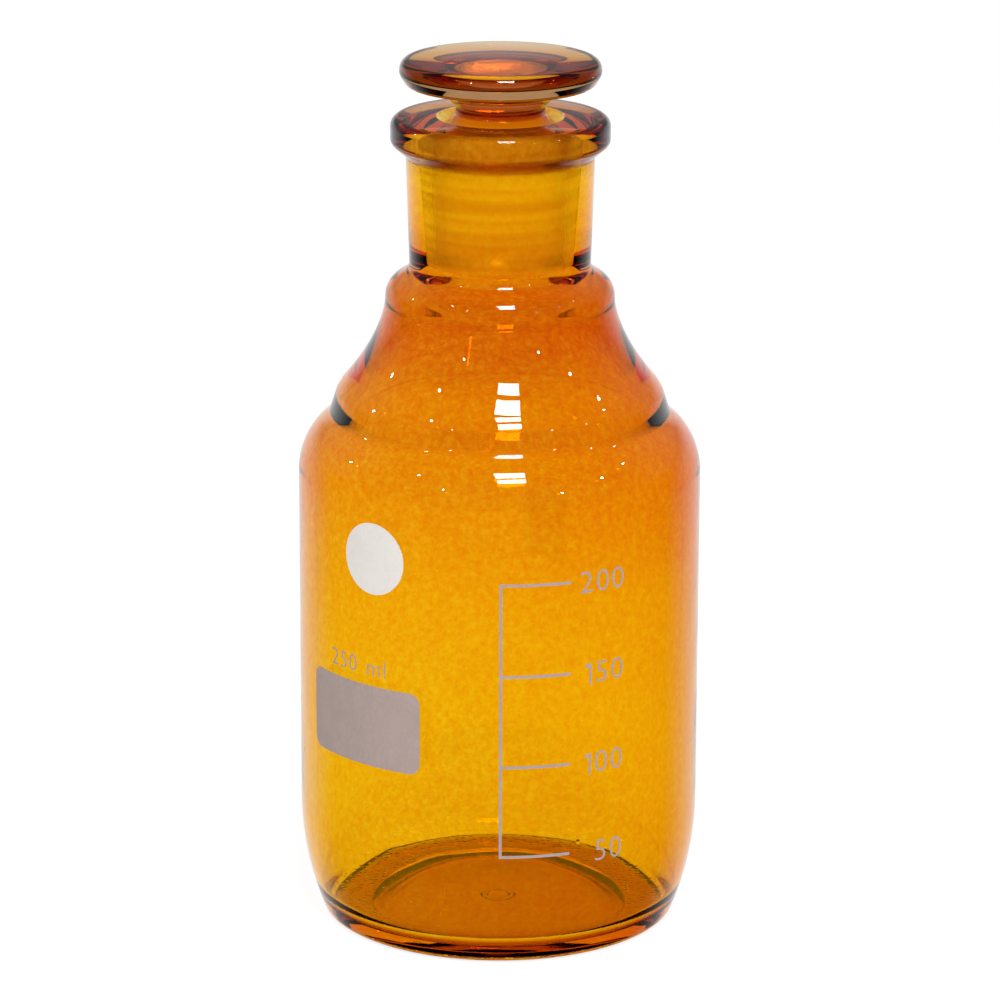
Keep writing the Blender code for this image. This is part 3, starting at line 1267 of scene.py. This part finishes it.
    def _wrap(
        self,
        piece: bpy.types.Object,
        angle: float,
        height: float,
        finish: bpy.types.Material,
        slot: Slot,
        nodes: list[str],
    ) -> None:
        """Slice a flat mark, bend it round the wall, give it its thickness and settle it.

        Args:
            piece: The flat mark, in the XY plane and centred where it is to sit.
            angle: Angle of its middle to the right of the front, in degrees.
            height: Height of its middle, in millimetres.
            finish: Its enamel.
            slot: Its material slot; not used.
            nodes: The CAD nodes that it stands for.
        """
        bpy.ops.object.select_all(action="DESELECT")
        piece.select_set(True)
        bpy.context.view_layer.objects.active = piece
        across = [corner[0] for corner in piece.bound_box]
        span = max(across) - min(across)
        bpy.ops.object.mode_set(mode="EDIT")
        count = int(max(abs(value) for value in across) / (self.slice * MM))
        for step in range(-count, count + 1):
            bpy.ops.mesh.select_all(action="SELECT")
            place = (step * self.slice * MM, 0.0, 0.0)
            bpy.ops.mesh.bisect(plane_co=place, plane_no=(1.0, 0.0, 0.0), threshold=MERGE / 2.0)
        bpy.ops.mesh.select_all(action="SELECT")
        bpy.ops.mesh.remove_doubles(threshold=MERGE)
        bpy.ops.transform.rotate(value=-pi / 2.0, orient_axis="X", center_override=ORIGIN)
        bpy.ops.object.mode_set(mode="OBJECT")
        reach = (self.body_r + self.lift) * MM
        bend = piece.modifiers.new("wrap", "SIMPLE_DEFORM")
        bend.deform_method = "BEND"
        bend.deform_axis = "Z"
        bend.angle = span / reach
        bpy.ops.object.modifier_apply(modifier=bend.name)
        bpy.ops.object.mode_set(mode="EDIT")
        bpy.ops.mesh.select_all(action="SELECT")
        bpy.ops.transform.translate(value=(0.0, -reach, height * MM))
        bpy.ops.transform.rotate(value=-radians(angle), orient_axis="Z", center_override=ORIGIN)
        bpy.ops.mesh.normals_make_consistent(inside=False)
        bpy.ops.object.mode_set(mode="OBJECT")
        shell = piece.modifiers.new("thickness", "SOLIDIFY")
        shell.thickness = self.thick * MM
        shell.offset = 1.0
        bpy.ops.object.modifier_apply(modifier=shell.name)
        piece.data.materials.clear()
        piece.data.materials.append(finish)
        bpy.ops.object.shade_smooth_by_angle(angle=ENAMEL_CREASE)
        settle(piece, Body.BOTTLE, nodes)


# ---- Camera, table and light ----


@dataclass(frozen=True)
class Lamp:
    """A lamp that looks at the bottle.

    Attributes:
        name: Name of the lamp.
        azimuth: Degrees to the right of the front.
        elevation: Degrees above the table.
        size: Width and height in metres; a lamp with no height is round.
        glow: Brightness of its face, where 1 is white.
    """

    name: str
    azimuth: float
    elevation: float
    size: tuple[float, float]
    glow: float

    def build(self, distance: float, target: Vector) -> None:
        """Hang the lamp at a distance from a point and turn it to that point.

        Args:
            distance: How far away it hangs, in metres.
            target: The point.
        """
        data = bpy.data.lights.new(self.name, "AREA")
        width, height = self.size
        data.shape = "RECTANGLE" if height else "DISK"
        data.size = width
        if height:
            data.size_y = height
        area = width * height if height else pi * width * width / 4.0
        data.energy = self.glow * pi * area  # the power that gives its face this brightness
        lamp = bpy.data.objects.new(self.name, data)
        bpy.context.scene.collection.objects.link(lamp)
        around, up = radians(self.azimuth), radians(self.elevation)
        away = Vector((sin(around) * cos(up), -cos(around) * cos(up), sin(up)))
        turn = away.to_track_quat("Z", "Y").to_matrix().to_4x4()
        lamp.matrix_world = Matrix.Translation(target + away * distance) @ turn
        lamp.visible_camera = False


@dataclass
class Table:
    """A wide round table top that glows, as lit acrylic does, with a painted amber shadow under the
    bottle.
    """

    radius: float = 6.0
    drop: float = 0.1
    grey: float = 0.12
    roughness: float = 0.9
    # colour of the painted amber shadow in the glow under the bottle, and of the plain white glow
    # round it
    painted_shadow: Colour = (0.51, 0.15, 0.012)
    lit: Colour = (1.0, 1.0, 1.0)
    # radii in millimetres over which the painted shadow fades into the white glow
    edge: tuple[float, float] = (26.5, 31.0)
    brightness: float = 0.95

    def build(self) -> None:
        """Make the table top just under the bottle and stage it."""
        under = (0.0, 0.0, -self.drop * MM)
        bpy.ops.object.select_all(action="DESELECT")
        bpy.ops.mesh.primitive_circle_add(
            vertices=96, radius=self.radius, fill_type="NGON", location=under
        )
        table = bpy.context.object
        table.name = "table"
        made, tree, shader = new_material("lit table with painted shadow")
        reach = tree.add("ShaderNodeVectorMath", {0: tree.place()}, operation="LENGTH")
        edge = Fade(self.edge[0] * MM, self.edge[1] * MM, 0.0, 1.0)
        share = tree.faded(reach.outputs["Value"], edge)
        surface = {
            "Base Color": (self.grey, self.grey, self.grey, 1.0),
            "Roughness": self.roughness,
            # the glow holds the painted amber shadow under the bottle, inside the edge radii
            "Emission Color": tree.ramp(share, ((0.0, self.painted_shadow), (1.0, self.lit))),
            "Emission Strength": self.brightness,
        }
        tree.feed(shader, surface)
        table.data.materials.append(made)
        table.visible_glossy = False


@dataclass
class Surround:
    """White behind the bottle and along the horizon, dark overhead and on the camera's side.

    Each fade runs from the camera's side to the back, or from the horizon to overhead. The first
    five are what the glass mirrors, and the last two are what shows through it.
    """

    horizon_depth: Fade = Fade(0.30, 0.98, 0.015, 0.95)
    horizon_height: Fade = Fade(0.0, 0.30, 1.0, 0.10)
    sky_depth: Fade = Fade(-0.2, 0.9, 0.03, 0.28)
    sky_rise: Fade = Fade(0.05, 0.25, 0.0, 1.0)
    sky_fall: Fade = Fade(0.5, 0.95, 1.0, 0.3)
    through_depth: Fade = Fade(-0.75, 0.1, 0.28, 0.98)
    through_height: Fade = Fade(0.45, 0.95, 1.0, 0.85)
    matt_light: float = 0.22

    def build(self) -> None:
        """Make the world."""
        world = bpy.data.worlds.new("surround")
        world.use_nodes = True
        bpy.context.scene.world = world
        tree = Tree(world.node_tree)
        where = tree.add("ShaderNodeTexCoord").outputs["Generated"]
        split = tree.add("ShaderNodeSeparateXYZ", {0: where}).outputs
        horizon = self._patch(tree, split, self.horizon_depth, self.horizon_height)
        sky = self._patch(tree, split, self.sky_depth, self.sky_rise, self.sky_fall)
        through = self._patch(tree, split, self.through_depth, self.through_height)
        mirrored = tree.maths("MAXIMUM", horizon, sky)
        path = tree.add("ShaderNodeLightPath").outputs
        crossed = {"Value": path["Is Transmission Ray"], "To Min": mirrored, "To Max": through}
        glass = tree.add("ShaderNodeMapRange", crossed).outputs[0]
        matt = tree.maths("MULTIPLY", path["Is Diffuse Ray"], self.matt_light)
        soft = tree.maths("MAXIMUM", glass, matt)
        strength = tree.maths("MAXIMUM", soft, path["Is Camera Ray"])
        back = world.node_tree.nodes["Background"]
        tree.feed(back, {"Color": (1.0, 1.0, 1.0, 1.0), "Strength": strength})

    def _patch(
        self, tree: Tree, split: bpy.types.NodeOutputs, depth: Fade, *heights: Fade
    ) -> bpy.types.NodeSocket:
        """Multiply one fade over the depth with fades over the height.

        Args:
            tree: The world's tree.
            split: The direction's three parts.
            depth: Fade from the camera's side to the back.
            heights: Fades from the horizon to overhead.

        Returns:
            The brightness.
        """
        light = tree.faded(split["Y"], depth)
        for height in heights:
            light = tree.maths("MULTIPLY", light, tree.faded(split["Z"], height))
        return light


@dataclass
class Studio:
    """The camera, the table, the surround and the lamps.

    The camera's distance and the height that it looks at are in millimetres, its elevation is in
    degrees, its roll in radians and its shift in widths of the view.
    """

    distance: float = 850.2
    elevation: float = 16.09
    target_z: float = 73.27
    lens: float = 177.57
    sensor: float = 36.0
    nearest: float = 0.05
    roll: float = 0.003
    shift: float = 0.0006
    lamp_distance: float = 1.3
    lamps: tuple[Lamp, ...] = (
        Lamp("front panel low", 9.0, 51.0, (0.30, 0.14), 34.0),
        Lamp("front panel high", 9.0, 61.0, (0.30, 0.19), 34.0),
        Lamp("spot left back", -107.0, 27.0, (0.04, 0.0), 90.0),
        Lamp("spot left", -60.0, 46.0, (0.04, 0.0), 90.0),
        Lamp("spot left front", -35.0, 32.0, (0.04, 0.0), 90.0),
        Lamp("spot right front", 38.0, 27.0, (0.04, 0.0), 90.0),
        Lamp("spot right", 70.0, 36.0, (0.04, 0.0), 90.0),
        Lamp("spot right back", 96.0, 40.0, (0.04, 0.0), 90.0),
    )

    def build(self) -> None:
        """Place everything that isn't part of the bottle."""
        target = Vector((0.0, 0.0, self.target_z * MM))
        self._camera(target)
        Table().build()
        Surround().build()
        for lamp in self.lamps:
            lamp.build(self.lamp_distance, target)

    def _camera(self, target: Vector) -> None:
        """Aim the camera at the bottle from the front, a little above it.

        Args:
            target: The point that it looks at, in metres.
        """
        lens = bpy.data.cameras.new("camera")
        lens.lens = self.lens
        lens.sensor_width = self.sensor
        lens.shift_x = self.shift
        lens.clip_start = self.nearest
        camera = bpy.data.objects.new("camera", lens)
        bpy.context.scene.collection.objects.link(camera)
        tilt = radians(self.elevation)
        away = Vector((0.0, -cos(tilt), sin(tilt)))
        turn = (-away).to_track_quat("-Z", "Y").to_matrix().to_4x4()
        roll = Matrix.Rotation(self.roll, 4, "Z")
        camera.matrix_world = Matrix.Translation(target + away * self.distance * MM) @ turn @ roll
        bpy.context.scene.camera = camera


def main() -> None:
    """Build the bottle, its stopper, its enamel and the studio, in order."""
    logging.basicConfig(level=logging.INFO, format="%(message)s")
    bpy.context.scene.view_settings.view_transform = "Standard"
    bottle = Bottle()
    bottle.build()
    Stopper().build(bottle)
    EnamelMarks(body_r=bottle.body_r).build()
    Studio().build()


if __name__ == "__main__":
    main()
